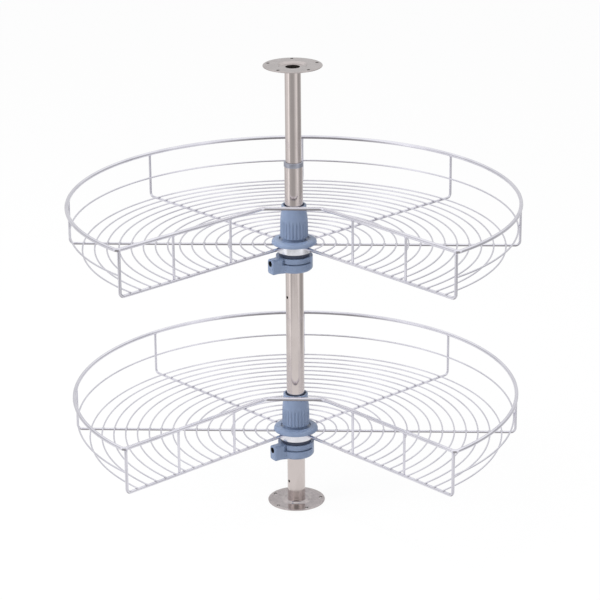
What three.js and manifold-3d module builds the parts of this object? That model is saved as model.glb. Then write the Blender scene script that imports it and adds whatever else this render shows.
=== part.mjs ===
// Two-tier revolving wire carousel for a kitchen corner cabinet, on a telescopic steel post.
//
// Millimetres, +Z up. The origin is on the post's axis where it meets the cabinet floor, and
// the V-shaped door notch of both baskets faces -Y. Azimuths are in degrees from +X towards +Y.
// Each tier is laid out from the axis height of its floor spokes, which is z = 0 in the tier.

import * as THREE from 'three';
import { mergeVertices } from 'three/addons/utils/BufferGeometryUtils.js';
import Module from 'manifold-3d';

const wasm = await Module();
wasm.setup();

// ---------------------------------------------------------------- driving dimensions

// Post
const postHeight = 726;
const lowerTubeRadius = 14.25;
const lowerTubeWall = 0.9;
const lowerTubeTop = 565;
const tubeScrewHoleRadius = 2.4;
const upperTubeRadius = 12.5;
const upperTubeWall = 1.2;
const telescopeOverlap = 145;
const bushCollarRadius = 15.2;
const bushCollarHeight = 7.5;
const bushSkirtLength = 34;
const bushClearance = 0.1;

// Floor and ceiling flanges, one pressing used both ways up
const flangeRadius = 46;
const flangeSheet = 2;
const flangeRise = 3;
const flangeDishOuterRadius = 24;
const flangeDishInnerRadius = 19;
const flangeScrewCircleRadius = 39.5;
const flangeScrewHoleRadius = 2.6;
const flangeScrewCount = 5;
const floorFlangeFirstHole = 8.5;
const ceilingFlangeFirstHole = 22;

// Where the tiers sit on the post
const lowerShelfHeight = 121.5;
const shelfSpacing = 316;
const shelfHolePitch = 62;
const clampAzimuth = -144;

// Basket wires
const rimRadius = 352;
const rimWireRadius = 3;
const rimHeight = 73;
const rimBendRadius = 6;
const apexDistance = 45.7;
const apexBendRadius = 16;
const notchHalfAngle = 45;
const spokeCount = 7;
const spokeWireRadius = 2;
const spokeBendRadius = 7;
const edgeSpokeWireRadius = 2.5;
const edgeUprightInset = 3.5;
const outerRingInset = 22;
const ringSpacing = 18.9;
const ringHubClearance = 5;
const ringWireRadius = 1.25;
const ringOverhang = 2;
const weldSink = 0.45;
const midWireRadius = 1.4;
const midWireHeight = 32.8;
const rodWireRadius = 2;
const ringsOutsideOuterRod = 5;
const ringsOutsideInnerRod = 11;
const weldGap = 0.15;

// Centre of a basket: steel sleeve, plastic hub and the bearing ring that they turn on
const sleeveRadius = 26.7;
const sleeveWall = 1.6;
const sleeveTop = 2.6;
const sleeveBottom = -10.2;
const seatGap = 0.2;
const hubFlangeRadius = 35.5;
const hubFlangeThickness = 5.6;
const hubFlangeRounding = 1.4;
const hubFlangeCone = 2.2;
const hubConeTopRadius = 24;
const hubBarrelRadius = 22;
const hubBarrelTop = 43.3;
const hubNeckRadius = 19.6;
const hubNeckBottom = 55.3;
const hubTop = 65.7;
const hubBoreRadius = 16.6;
const hubRibCount = 6;
const hubRibWidth = 2.6;
const hubRibDrop = 1;
const hubRunningGap = 0.35;
const fluteCount = 24;
const fluteRadius = 1.5;
const fluteDepth = 0.8;
const spigotWall = 3;
const bearingRadius = 24.2;
const bearingThickness = 6.3;
const bearingRunningGap = 0.4;

// Clamp collar and its set screw
const clampRadius = 29;
const clampHeight = 23.2;
const clampChamfer = 3;
const clampBoreGap = 0.2;
const windowDepth = 2.5;
const windowHeight = 9.7;
const windowFromAzimuth = -123;
const windowToAzimuth = -22;
const lugReach = 45.4;
const lugWidth = 17;
const lugHeight = 24;
const lugCorner = 2.5;
const lugRootReach = 33;
const lugRootWidth = 26;
const lugBelowClampTop = 0.2;
const screwBelowClampTop = 6.6;
const screwRadius = 3.8;
const screwLength = 23;
const screwHoleGap = 0.3;
const screwTipRadius = 1.8;
const screwTipLength = 1.5;
const screwSocketRadius = 2.3;
const screwSocketDepth = 4.5;
const screwStandOff = 0.2;

// How finely round shapes are faceted
const ringChordError = 1.2;
const rimChordError = 0.6;
const ringSides = 4;
const spokeSides = 6;
const rimSides = 8;
const rodSides = 8;
const turnedSides = 24;
const flangeSides = 36;
const holeSides = 12;
const bendSteps = 4;

// ---------------------------------------------------------------- derived places

const lowerTubeBore = lowerTubeRadius - lowerTubeWall;
const upperTubeBore = upperTubeRadius - upperTubeWall;
const flangeSeat = flangeRise + flangeSheet;
const upperTubeBottom = lowerTubeTop - telescopeOverlap;
const tierHeights = { lower: lowerShelfHeight, upper: lowerShelfHeight + shelfSpacing };

const quarterTurn = 90;
const edgeAzimuth = notchHalfAngle - quarterTurn;
const floorSweep = 360 - 2 * notchHalfAngle;
const spokePitch = floorSweep / (spokeCount - 1);

// every upright stands under the rim wire, and the rods stand midway between two floor rings
const edgeUprightRadius = rimRadius - edgeUprightInset;
const uprightTop = rimHeight - rimWireRadius - weldGap;
const midWireArcRadius = rimRadius - spokeWireRadius - midWireRadius - weldGap;

const edgeSpokeAxis = spokeWireRadius - edgeSpokeWireRadius;
const ringHeight = spokeWireRadius + ringWireRadius - weldSink;
const outerRingRadius = rimRadius - outerRingInset;
const ringZone = outerRingRadius - hubFlangeRadius - ringHubClearance;
const ringCount = Math.floor(ringZone / ringSpacing) + 1;
const outerRodRadius = outerRingRadius - ringSpacing * (ringsOutsideOuterRod - 0.5);
const innerRodRadius = outerRingRadius - ringSpacing * (ringsOutsideInnerRod - 0.5);
const rodBottom = spokeWireRadius + weldGap;

const hubFlangeBottom = sleeveTop + seatGap;
const hubFlangeTop = hubFlangeBottom + hubFlangeThickness;
const bearingTop = sleeveBottom - seatGap;
const bearingBottom = bearingTop - bearingThickness;
const clampTop = bearingBottom - seatGap;
const clampBottom = clampTop - clampHeight;
const clampBore = lowerTubeRadius + clampBoreGap;
const screwHeight = clampTop - screwBelowClampTop;
const screwTipEnd = lowerTubeRadius + screwStandOff;

// ---------------------------------------------------------------- materials

const finish = (name, color, roughness, metalness) =>
  new THREE.MeshStandardMaterial({ name, color, roughness, metalness });

const chromeWire = () => finish('chrome_wire', 0xc9c8d2, 0.14, 1);
const stainless = () => finish('stainless_steel', 0xcbbfb9, 0.22, 1);
const bluePlastic = () => finish('grey_blue_plastic', 0x7d90b0, 0.45, 0);
const darkPlastic = () => finish('dark_bearing_plastic', 0x303646, 0.5, 0);
const blackSteel = () => finish('black_screw_steel', 0x2b2c30, 0.4, 1);

// ---------------------------------------------------------------- solids

const radians = THREE.MathUtils.degToRad;
const degrees = THREE.MathUtils.radToDeg;

/** A closed three.js geometry as a solid that can be joined and cut. */
function solid(geometry) {
  const bare = geometry.clone();
  bare.deleteAttribute('normal');
  bare.deleteAttribute('uv');
  const merged = mergeVertices(bare);
  return new wasm.Manifold(
    new wasm.Mesh({
      numProp: 3,
      vertProperties: new Float32Array(merged.attributes.position.array),
      triVerts: Uint32Array.from(merged.index.array),
    }),
  );
}

const joined = (solids) => solids.reduce((whole, piece) => whole.add(piece));
const cut = (body, tools) => tools.reduce((rest, tool) => rest.subtract(tool), body);

/** The faceted geometry of a joined or cut solid. */
function geometryOf(body) {
  const mesh = body.getMesh();
  const geometry = new THREE.BufferGeometry();
  geometry.setAttribute('position', new THREE.BufferAttribute(mesh.vertProperties, 3));
  geometry.setIndex(new THREE.BufferAttribute(mesh.triVerts, 1));
  const faceted = geometry.toNonIndexed();
  faceted.computeVertexNormals();
  return faceted;
}

/** A body of revolution about Z. Its profile runs anticlockwise in (radius, height). */
function turned(profile, sides = turnedSides) {
  const points = [...profile, profile[0]].map(([radius, height]) => new THREE.Vector2(radius, height));
  return new THREE.LatheGeometry(points, sides).rotateX(Math.PI / 2);
}

/** A tube or washer between two radii and two heights. */
function washer(innerRadius, outerRadius, bottom, top, sides = turnedSides) {
  const profile = [
    [innerRadius, bottom],
    [outerRadius, bottom],
    [outerRadius, top],
    [innerRadius, top],
  ];
  return turned(profile, sides);
}

/** A cylinder that lies along an azimuth, between two distances from the axis. */
function radialCylinder(radius, from, to, azimuth, height, sides = holeSides) {
  return new THREE.CylinderGeometry(radius, radius, to - from, sides)
    .rotateZ(-Math.PI / 2)
    .translate((from + to) / 2, 0, height)
    .rotateZ(radians(azimuth));
}

/** An upright cylinder at a point, between two heights. */
function uprightCylinder(radius, at, bottom, top, sides = holeSides) {
  return new THREE.CylinderGeometry(radius, radius, top - bottom, sides)
    .rotateX(Math.PI / 2)
    .translate(at.x, at.y, (bottom + top) / 2);
}

/** A flat outline in XY, raised from one height to another. */
function raised(outline, bottom, top) {
  const shape = new THREE.Shape(outline.map(([x, y]) => new THREE.Vector2(x, y)));
  const prism = new THREE.ExtrudeGeometry(shape, { depth: top - bottom, bevelEnabled: false });
  return prism.translate(0, 0, bottom);
}

const up = new THREE.Vector3(0, 0, 1);
const alongX = new THREE.Vector3(1, 0, 0);
const alongY = new THREE.Vector3(0, 1, 0);

/** The point at an azimuth, distance, height and offset towards greater azimuths. */
function polar(azimuth, distance, height = 0, offset = 0) {
  return new THREE.Vector3(distance, offset, height).applyAxisAngle(up, radians(azimuth));
}

// ---------------------------------------------------------------- wires

/** An arc in the plane of two unit vectors, from one angle to another. */
class PlaneArc extends THREE.Curve {
  constructor(centre, radius, axisA, axisB, from, to) {
    super();
    Object.assign(this, { centre, radius, axisA, axisB, from, to });
  }

  getPoint(t, target = new THREE.Vector3()) {
    const angle = this.from + (this.to - this.from) * t;
    return target
      .copy(this.centre)
      .addScaledVector(this.axisA, this.radius * Math.cos(angle))
      .addScaledVector(this.axisB, this.radius * Math.sin(angle));
  }

  getTangent(t, target = new THREE.Vector3()) {
    const angle = this.from + (this.to - this.from) * t;
    const way = Math.sign(this.to - this.from);
    return target
      .set(0, 0, 0)
      .addScaledVector(this.axisA, -way * Math.sin(angle))
      .addScaledVector(this.axisB, way * Math.cos(angle));
  }
}

/** A wire's centre line: runs that follow one another, each with its own number of steps. */
class WirePath extends THREE.Curve {
  constructor(runs) {
    super();
    this.runs = runs;
    this.steps = runs.reduce((sum, run) => sum + run.steps, 0);
  }

  /** The run that holds a share of the path's steps, and how far along that run it lies. */
  place(share) {
    let station = share * this.steps;
    let index = 0;
    while (index < this.runs.length - 1 && station > this.runs[index].steps + 1e-9) {
      station -= this.runs[index].steps;
      index += 1;
    }
    const run = this.runs[index];
    return { curve: run.curve, t: Math.min(station / run.steps, 1) };
  }

  getPointAt(share, target) {
    const { curve, t } = this.place(share);
    return curve.getPoint(t, target);
  }

  getTangentAt(share, target) {
    const { curve, t } = this.place(share);
    return curve.getTangent(t, target);
  }
}

const straight = (from, to) => ({ curve: new THREE.LineCurve3(from, to), steps: 1 });

/** A bend in the plane of two unit vectors, its angles in degrees. */
function bend(centre, radius, axisA, axisB, from, to) {
  return { curve: new PlaneArc(centre, radius, axisA, axisB, radians(from), radians(to)), steps: bendSteps };
}

/** A level arc about the Z axis, in chords that stray no further than chordError from it. */
function levelArc(radius, height, from, to, chordError) {
  const centre = new THREE.Vector3(0, 0, height);
  const curve = new PlaneArc(centre, radius, alongX, alongY, radians(from), radians(to));
  const chord = 2 * Math.acos(1 - chordError / radius);
  return { curve, steps: Math.ceil(Math.abs(radians(to - from)) / chord) };
}

/** The circumradius of the regular polygon that has the area of a round wire. */
function facetedRadius(radius, sides) {
  const turn = (2 * Math.PI) / sides;
  return radius * Math.sqrt(turn / Math.sin(turn));
}

/** A round wire's faceted section, with a flat side up and a flat side down. */
function wireSection(radius, sides) {
  const corner = facetedRadius(radius, sides);
  const points = Array.from({ length: sides }, (_, n) => {
    const angle = ((2 * n + 1) * Math.PI) / sides;
    return new THREE.Vector2(corner * Math.cos(angle), corner * Math.sin(angle));
  });
  return new THREE.Shape(points);
}

/** A wire with two ends. */
function wire(runs, radius, sides) {
  const path = new WirePath(runs);
  return new THREE.ExtrudeGeometry(wireSection(radius, sides), { steps: path.steps, extrudePath: path });
}

/** An endless wire: the ends of its path meet, so only its side walls are kept. */
function endlessWire(runs, radius, sides) {
  const open = wire(runs, radius, sides);
  const { start, count } = open.groups.find((group) => group.materialIndex === 1);
  const walls = open.attributes.position.array.slice(3 * start, 3 * (start + count));
  const geometry = new THREE.BufferGeometry();
  geometry.setAttribute('position', new THREE.BufferAttribute(walls, 3));
  return geometryOf(solid(geometry));
}

// ---------------------------------------------------------------- post

/** The pressed flange as it lies on the cabinet floor, its centre raised under the tube. */
function flange(firstHole) {
  const disc = turned(
    [
      [upperTubeBore, flangeRise],
      [flangeDishInnerRadius, flangeRise],
      [flangeDishOuterRadius, 0],
      [flangeRadius, 0],
      [flangeRadius, flangeSheet],
      [flangeDishOuterRadius, flangeSheet],
      [flangeDishInnerRadius, flangeSeat],
      [upperTubeBore, flangeSeat],
    ],
    flangeSides,
  );
  const holes = Array.from({ length: flangeScrewCount }, (_, n) => {
    const at = polar(firstHole + (360 / flangeScrewCount) * n, flangeScrewCircleRadius);
    return solid(uprightCylinder(flangeScrewHoleRadius, at, -flangeSheet, 2 * flangeSheet));
  });
  return geometryOf(cut(solid(disc), holes));
}

/** The same pressing turned over, so that its rim bears on the cabinet's top. */
function ceilingFlange() {
  return flange(-ceilingFlangeFirstHole).rotateX(Math.PI).translate(0, 0, postHeight);
}

/** The lower tube, with two set screw holes for each tier. */
function lowerTube() {
  const tube = solid(washer(lowerTubeBore, lowerTubeRadius, flangeSeat, lowerTubeTop));
  const from = lowerTubeBore - lowerTubeWall;
  const to = lowerTubeRadius + lowerTubeWall;
  const holeHeights = Object.values(tierHeights).flatMap((height) => [
    height + screwHeight,
    height + screwHeight - shelfHolePitch,
  ]);
  const holes = holeHeights.map((height) => radialCylinder(tubeScrewHoleRadius, from, to, clampAzimuth, height));
  return geometryOf(cut(tube, holes.map(solid)));
}

const upperTube = () => washer(upperTubeBore, upperTubeRadius, upperTubeBottom, postHeight - flangeSeat);

/** The plastic bush that caps the lower tube's mouth and guides the upper tube. */
function telescopeBush() {
  const inner = upperTubeRadius + bushClearance;
  const skirt = lowerTubeBore - bushClearance;
  const seat = lowerTubeTop + bushClearance;
  return turned([
    [inner, lowerTubeTop - bushSkirtLength],
    [skirt, lowerTubeTop - bushSkirtLength],
    [skirt, seat],
    [bushCollarRadius, seat],
    [bushCollarRadius, seat + bushCollarHeight],
    [inner, seat + bushCollarHeight],
  ]);
}

// ---------------------------------------------------------------- basket wires

/** A floor spoke: out along the floor from the sleeve, then bent up to the rim's underside. */
function spoke(azimuth, radius, axisHeight, uprightRadius) {
  const bendAt = uprightRadius - spokeBendRadius;
  const bendTop = axisHeight + spokeBendRadius;
  const inner = polar(azimuth, sleeveRadius + weldGap, axisHeight);
  const outward = polar(azimuth, 1);
  const runs = [
    straight(inner, polar(azimuth, bendAt, axisHeight)),
    bend(polar(azimuth, bendAt, bendTop), spokeBendRadius, outward, up, -quarterTurn, 0),
    straight(polar(azimuth, uprightRadius, bendTop), polar(azimuth, uprightRadius, uprightTop)),
  ];
  return wire(runs, radius, spokeSides);
}

/** A floor spoke by its number, from the notch's right edge round the back to its left edge. */
function floorSpoke(number) {
  const azimuth = edgeAzimuth + spokePitch * number;
  const onEdge = number === 0 || number === spokeCount - 1;
  return onEdge
    ? spoke(azimuth, edgeSpokeWireRadius, edgeSpokeAxis, edgeUprightRadius)
    : spoke(azimuth, spokeWireRadius, 0, rimRadius);
}

/** A floor ring by its number from the outside, running a little past both edge spokes. */
function floorRing(number) {
  const radius = outerRingRadius - ringSpacing * number;
  const past = degrees(ringOverhang / radius);
  const [start, end] = [edgeAzimuth - past, edgeAzimuth + floorSweep + past];
  const arc = levelArc(radius, ringHeight, start, end, ringChordError);
  return wire([arc], ringWireRadius, ringSides);
}

/** The welded floor: rings that rest on the spokes, whose outer ends turn up to the rim. */
function basketFloor() {
  const spokes = Array.from({ length: spokeCount }, (_, n) => floorSpoke(n));
  const rings = Array.from({ length: ringCount }, (_, n) => floorRing(n));
  return geometryOf(joined([...spokes, ...rings].map(solid)));
}

/** The endless rim wire: a long arc, a side over each edge spoke and a flat before the post. */
function basketRim() {
  const far = edgeAzimuth + floorSweep;
  const reach = Math.sqrt((rimRadius - rimBendRadius) ** 2 - rimBendRadius ** 2);
  const rightCorner = polar(edgeAzimuth, reach, rimHeight, rimBendRadius);
  const leftCorner = polar(far, reach, rimHeight, -rimBendRadius);
  const cornerSlip = degrees(Math.atan2(rimBendRadius, reach));
  const arcStart = edgeAzimuth + cornerSlip;
  const arcEnd = far - cornerSlip;

  const apexHalfWidth = apexDistance * Math.tan(radians(notchHalfAngle));
  const apexBendX = apexHalfWidth - apexBendRadius * Math.tan(radians(quarterTurn - notchHalfAngle) / 2);
  const apexBendY = -apexDistance - apexBendRadius;
  const rightApex = new THREE.Vector3(apexBendX, apexBendY, rimHeight);
  const leftApex = new THREE.Vector3(-apexBendX, apexBendY, rimHeight);

  const rightSide = edgeAzimuth + quarterTurn;
  const leftSide = far - quarterTurn;
  const cornerBend = (centre, from, to) => bend(centre, rimBendRadius, alongX, alongY, from, to);
  const apexBend = (centre, from, to) => bend(centre, apexBendRadius, alongX, alongY, from, to);
  const onCorner = (centre, azimuth) => centre.clone().add(polar(azimuth, rimBendRadius));
  const onApex = (centre, azimuth) => centre.clone().add(polar(azimuth, apexBendRadius));
  const uprights = Array.from({ length: spokeCount - 2 }, (_, n) => edgeAzimuth + spokePitch * (n + 1));
  const stops = [arcStart, ...uprights, arcEnd];
  const arcs = stops.slice(1).map((to, n) => levelArc(rimRadius, rimHeight, stops[n], to, rimChordError));

  const runs = [
    ...arcs,
    cornerBend(leftCorner, arcEnd, far + quarterTurn),
    straight(onCorner(leftCorner, far + quarterTurn), onApex(leftApex, leftSide)),
    apexBend(leftApex, leftSide, quarterTurn),
    straight(onApex(leftApex, quarterTurn), onApex(rightApex, quarterTurn)),
    apexBend(rightApex, quarterTurn, rightSide),
    straight(onApex(rightApex, rightSide), onCorner(rightCorner, edgeAzimuth - quarterTurn)),
    cornerBend(rightCorner, edgeAzimuth - quarterTurn, arcStart),
  ];
  return endlessWire(runs, rimWireRadius, rimSides);
}

/** The thin wire round the inside of the uprights, from one corner upright to the other. */
function basketMidWire() {
  const trim = degrees((facetedRadius(edgeSpokeWireRadius, spokeSides) + weldGap) / midWireArcRadius);
  const from = edgeAzimuth + trim;
  const to = edgeAzimuth + floorSweep - trim;
  const arc = levelArc(midWireArcRadius, midWireHeight, from, to, ringChordError);
  return wire([arc], midWireRadius, spokeSides);
}

/** A short upright between an edge spoke and the rim above it; hand is 1 right, -1 left. */
function notchRod(hand, distance) {
  const at = polar(hand > 0 ? edgeAzimuth : edgeAzimuth + floorSweep, distance);
  return uprightCylinder(facetedRadius(rodWireRadius, rodSides), at, rodBottom, uprightTop, rodSides);
}

// ---------------------------------------------------------------- basket centre

const sleeve = () => washer(sleeveRadius - sleeveWall, sleeveRadius, sleeveBottom, sleeveTop);

/** The hub's outer form with a plain bore: spigot, rounded flange, barrel and neck. */
function hubBlank() {
  const spigotRadius = sleeveRadius - sleeveWall - seatGap;
  const rounding = hubFlangeRounding;
  return turned([
    [spigotRadius - spigotWall, sleeveBottom],
    [spigotRadius, sleeveBottom],
    [spigotRadius, hubFlangeBottom],
    [hubFlangeRadius - rounding, hubFlangeBottom],
    [hubFlangeRadius, hubFlangeBottom + rounding],
    [hubFlangeRadius, hubFlangeTop - rounding],
    [hubFlangeRadius - rounding, hubFlangeTop],
    [hubConeTopRadius, hubFlangeTop + hubFlangeCone],
    [hubBarrelRadius, hubFlangeTop + 2 * hubFlangeCone],
    [hubBarrelRadius, hubBarrelTop],
    [hubNeckRadius, hubNeckBottom],
    [hubNeckRadius, hubTop - rounding],
    [hubNeckRadius - rounding, hubTop],
    [hubBoreRadius, hubTop],
    [hubBoreRadius, hubFlangeBottom],
    [spigotRadius - spigotWall, -hubFlangeBottom],
  ]);
}

/** The flutes down the barrel, as the tools that cut them. */
function fluteTools() {
  const distance = hubBarrelRadius + fluteRadius - fluteDepth;
  const from = hubFlangeTop + 2 * hubFlangeCone;
  return Array.from({ length: fluteCount }, (_, n) => {
    const at = polar((360 / fluteCount) * (n + 0.5), distance);
    return solid(uprightCylinder(fluteRadius, at, from, hubNeckBottom, 6));
  });
}

/** The ribs inside the bore, which run on the lower tube. */
function hubRibs() {
  const inner = lowerTubeRadius + hubRunningGap;
  const outer = (hubBoreRadius + hubNeckRadius - hubFlangeRounding) / 2;
  const half = hubRibWidth / 2;
  const outline = [
    [inner, -half],
    [outer, -half],
    [outer, half],
    [inner, half],
  ];
  return Array.from({ length: hubRibCount }, (_, n) =>
    solid(raised(outline, hubFlangeBottom, hubTop - hubRibDrop).rotateZ(radians((360 / hubRibCount) * n))),
  );
}

const hub = () => geometryOf(joined([cut(solid(hubBlank()), fluteTools()), ...hubRibs()]));

const bearingRing = () =>
  washer(lowerTubeRadius + bearingRunningGap, bearingRadius, bearingBottom, bearingTop);

// ---------------------------------------------------------------- clamp

/** The shallow window round the front of the clamp collar, as the tool that cuts it. */
function windowTool() {
  const inner = clampRadius - windowDepth;
  const outer = clampRadius + windowDepth;
  const count = Math.ceil((windowToAzimuth - windowFromAzimuth) / (360 / turnedSides));
  const azimuths = Array.from(
    { length: count + 1 },
    (_, n) => windowFromAzimuth + ((windowToAzimuth - windowFromAzimuth) * n) / count,
  );
  const arc = (radius) => azimuths.map((azimuth) => polar(azimuth, radius).toArray());
  const outline = [...arc(outer), ...arc(inner).reverse()];
  return solid(raised(outline, clampTop - windowHeight, clampTop + windowDepth));
}

/** The lug that carries the set screw, flared where it runs into the collar's wall. */
function lug() {
  const half = lugWidth / 2;
  const rootHalf = lugRootWidth / 2;
  const inner = (clampBore + clampRadius) / 2;
  const outline = [
    [inner, -rootHalf],
    [lugRootReach, -half],
    [lugReach - lugCorner, -half],
    [lugReach, lugCorner - half],
    [lugReach, half - lugCorner],
    [lugReach - lugCorner, half],
    [lugRootReach, half],
    [inner, rootHalf],
  ];
  const top = clampTop - lugBelowClampTop;
  return solid(raised(outline, top - lugHeight, top).rotateZ(radians(clampAzimuth)));
}

/** The collar that grips the lower tube and carries a tier. */
function clamp() {
  const collar = turned([
    [clampBore, clampBottom],
    [clampRadius - clampChamfer, clampBottom],
    [clampRadius, clampBottom + clampChamfer],
    [clampRadius, clampTop],
    [clampBore, clampTop],
  ]);
  const holeRadius = screwRadius + screwHoleGap;
  const screwHole = radialCylinder(holeRadius, clampBore / 2, lugReach * 2, clampAzimuth, screwHeight);
  return geometryOf(cut(joined([solid(collar), lug()]), [windowTool(), solid(screwHole)]));
}

/** The set screw at rest, its tip just clear of the tube, with a hexagon socket outside. */
function clampScrew() {
  const outer = screwTipEnd + screwLength;
  const shoulder = screwTipEnd + screwTipLength;
  const body = radialCylinder(screwRadius, shoulder, outer, clampAzimuth, screwHeight);
  const tipRoot = outer - screwSocketDepth * 2;
  const tip = radialCylinder(screwTipRadius, screwTipEnd, tipRoot, clampAzimuth, screwHeight);
  const socket = radialCylinder(
    screwSocketRadius,
    outer - screwSocketDepth,
    outer + screwSocketDepth,
    clampAzimuth,
    screwHeight,
    6,
  );
  return geometryOf(cut(joined([solid(body), solid(tip)]), [solid(socket)]));
}

// ---------------------------------------------------------------- assembly

/** A named piece made of one closed geometry. */
function piece(name, geometry, material) {
  const mesh = new THREE.Mesh(geometry, material);
  mesh.name = name;
  return mesh;
}

function postPieces() {
  return [
    piece('floor_flange', flange(floorFlangeFirstHole), stainless()),
    piece('lower_tube', lowerTube(), stainless()),
    piece('telescope_bush', telescopeBush(), stainless()),
    piece('upper_tube', upperTube(), stainless()),
    piece('ceiling_flange', ceilingFlange(), stainless()),
  ];
}

/** One tier's pieces: the clamp that holds it up and the basket that revolves above it. */
function tierPieces(tier) {
  return [
    piece(`${tier}_clamp`, clamp(), bluePlastic()),
    piece(`${tier}_clamp_screw`, clampScrew(), blackSteel()),
    piece(`${tier}_bearing_ring`, bearingRing(), darkPlastic()),
    piece(`${tier}_hub`, hub(), bluePlastic()),
    piece(`${tier}_sleeve`, sleeve(), stainless()),
    piece(`${tier}_basket_floor`, basketFloor(), chromeWire()),
    piece(`${tier}_basket_mid_wire`, basketMidWire(), chromeWire()),
    piece(`${tier}_basket_rim`, basketRim(), chromeWire()),
    piece(`${tier}_rod_right_outer`, notchRod(1, outerRodRadius), chromeWire()),
    piece(`${tier}_rod_right_inner`, notchRod(1, innerRodRadius), chromeWire()),
    piece(`${tier}_rod_left_outer`, notchRod(-1, outerRodRadius), chromeWire()),
    piece(`${tier}_rod_left_inner`, notchRod(-1, innerRodRadius), chromeWire()),
  ];
}

const carousel = new THREE.Group();
carousel.name = 'corner_carousel';
carousel.add(...postPieces());
for (const [tier, height] of Object.entries(tierHeights)) {
  for (const mesh of tierPieces(tier)) {
    mesh.geometry.translate(0, 0, height);
    carousel.add(mesh);
  }
}

export default carousel;
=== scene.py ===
"""Looks of a two-tier revolving corner carousel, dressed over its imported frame.

Sizes are in millimetres and azimuths in degrees from +X towards +Y, as in the part itself; a mesh
is scaled to metres as it is made. A tier is laid out from the axis height of its floor spokes.
"""

import logging
import math
from dataclasses import dataclass, field
from enum import Enum
from typing import Sequence

import bpy
import numpy as np
from mathutils import Matrix, Vector


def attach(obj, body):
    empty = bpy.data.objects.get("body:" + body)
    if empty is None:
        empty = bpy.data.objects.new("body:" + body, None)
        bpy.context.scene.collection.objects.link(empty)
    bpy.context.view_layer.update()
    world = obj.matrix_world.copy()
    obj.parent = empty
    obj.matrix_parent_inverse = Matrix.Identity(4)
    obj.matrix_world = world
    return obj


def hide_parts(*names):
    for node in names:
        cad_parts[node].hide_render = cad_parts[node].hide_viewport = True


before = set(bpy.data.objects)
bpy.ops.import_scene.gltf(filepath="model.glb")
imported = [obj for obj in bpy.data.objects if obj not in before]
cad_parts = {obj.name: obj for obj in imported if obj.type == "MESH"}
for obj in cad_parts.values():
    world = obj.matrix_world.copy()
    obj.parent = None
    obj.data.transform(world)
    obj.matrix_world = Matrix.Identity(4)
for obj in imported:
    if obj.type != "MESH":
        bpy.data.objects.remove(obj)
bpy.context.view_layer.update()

MM = 0.001
UP = np.array([0.0, 0.0, 1.0])
STEEP = 0.5  # a face whose normal points up, or outwards, by less than this is a cut, or a bore
SCREW_AZIMUTH = -144.0
SCREW_HEIGHT = -23.5  # from the tier's spokes
Settings = dict[str, object]
Axes = tuple[float, float, float]
Colour = tuple[float, float, float]
Span = tuple[float, float]
Pairs = Sequence[Span]
Mesh = bpy.types.Mesh
Socket = bpy.types.NodeSocket

log = logging.getLogger("carousel")


class Named(Enum):
    """A choice whose own name is a word in the names of nodes and bodies."""

    @property
    def label(self) -> str:
        """The name in small letters."""
        return self.name.lower()


class Tier(Named):
    """The two baskets, by the axis height of their floor spokes."""

    LOWER = 121.5
    UPPER = 437.5


class Hand(Named):
    """The two sides of the V-shaped notch, by the azimuth of their edge spokes."""

    RIGHT = -45.0
    LEFT = 225.0


class Carving(Enum):
    """How one solid changes another."""

    CUT = "DIFFERENCE"
    JOIN = "UNION"


Changes = Sequence[tuple[Carving, "Shell"]]


# ---- points and outlines


def polar(azimuth: float | np.ndarray, radius: float | np.ndarray, height: float | np.ndarray = 0.0,
          offset: float | np.ndarray = 0.0) -> np.ndarray:
    """The points at these azimuths, distances and heights.

    With e the unit ray at the azimuth and f the level unit vector to its left, the point is
    radius * e + offset * f + height * z.

    Args:
        azimuth: Degrees from +X towards +Y.
        radius: Distance from the post's axis along the ray.
        height: Height above the floor, or above the tier's spokes.
        offset: Distance to the left of the ray.

    Returns:
        An array that ends in an axis of three coordinates.
    """
    turn = np.radians(azimuth)
    x = radius * np.cos(turn) - offset * np.sin(turn)
    y = radius * np.sin(turn) + offset * np.cos(turn)
    return np.stack(np.broadcast_arrays(x, y, height), axis=-1).astype(float)


def straight(start: np.ndarray, end: np.ndarray, steps: int) -> np.ndarray:
    """The points from start to end, one a row, with this many even gaps between them."""
    share = np.linspace(0.0, 1.0, steps + 1)[:, None]
    return start * (1.0 - share) + end * share


def arc(centre: np.ndarray, radius: float, axis_a: np.ndarray, axis_b: np.ndarray, start: float,
        end: float, steps: int) -> np.ndarray:
    """The points centre + radius * (cos t * a + sin t * b), t going from start to end in degrees."""
    turn = np.radians(np.linspace(start, end, steps + 1))[:, None]
    return centre + radius * (np.cos(turn) * axis_a + np.sin(turn) * axis_b)


def run_on(*runs: np.ndarray) -> np.ndarray:
    """Joins runs of points end to end, dropping the point that each shares with the one before."""
    return np.vstack([runs[0], *[run[1:] for run in runs[1:]]])


def rectangle(left: float, right: float, bottom: float, top: float) -> Pairs:
    """The corners of an upright rectangle, from the lower left one on."""
    return [(left, bottom), (right, bottom), (right, top), (left, top)]


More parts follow.
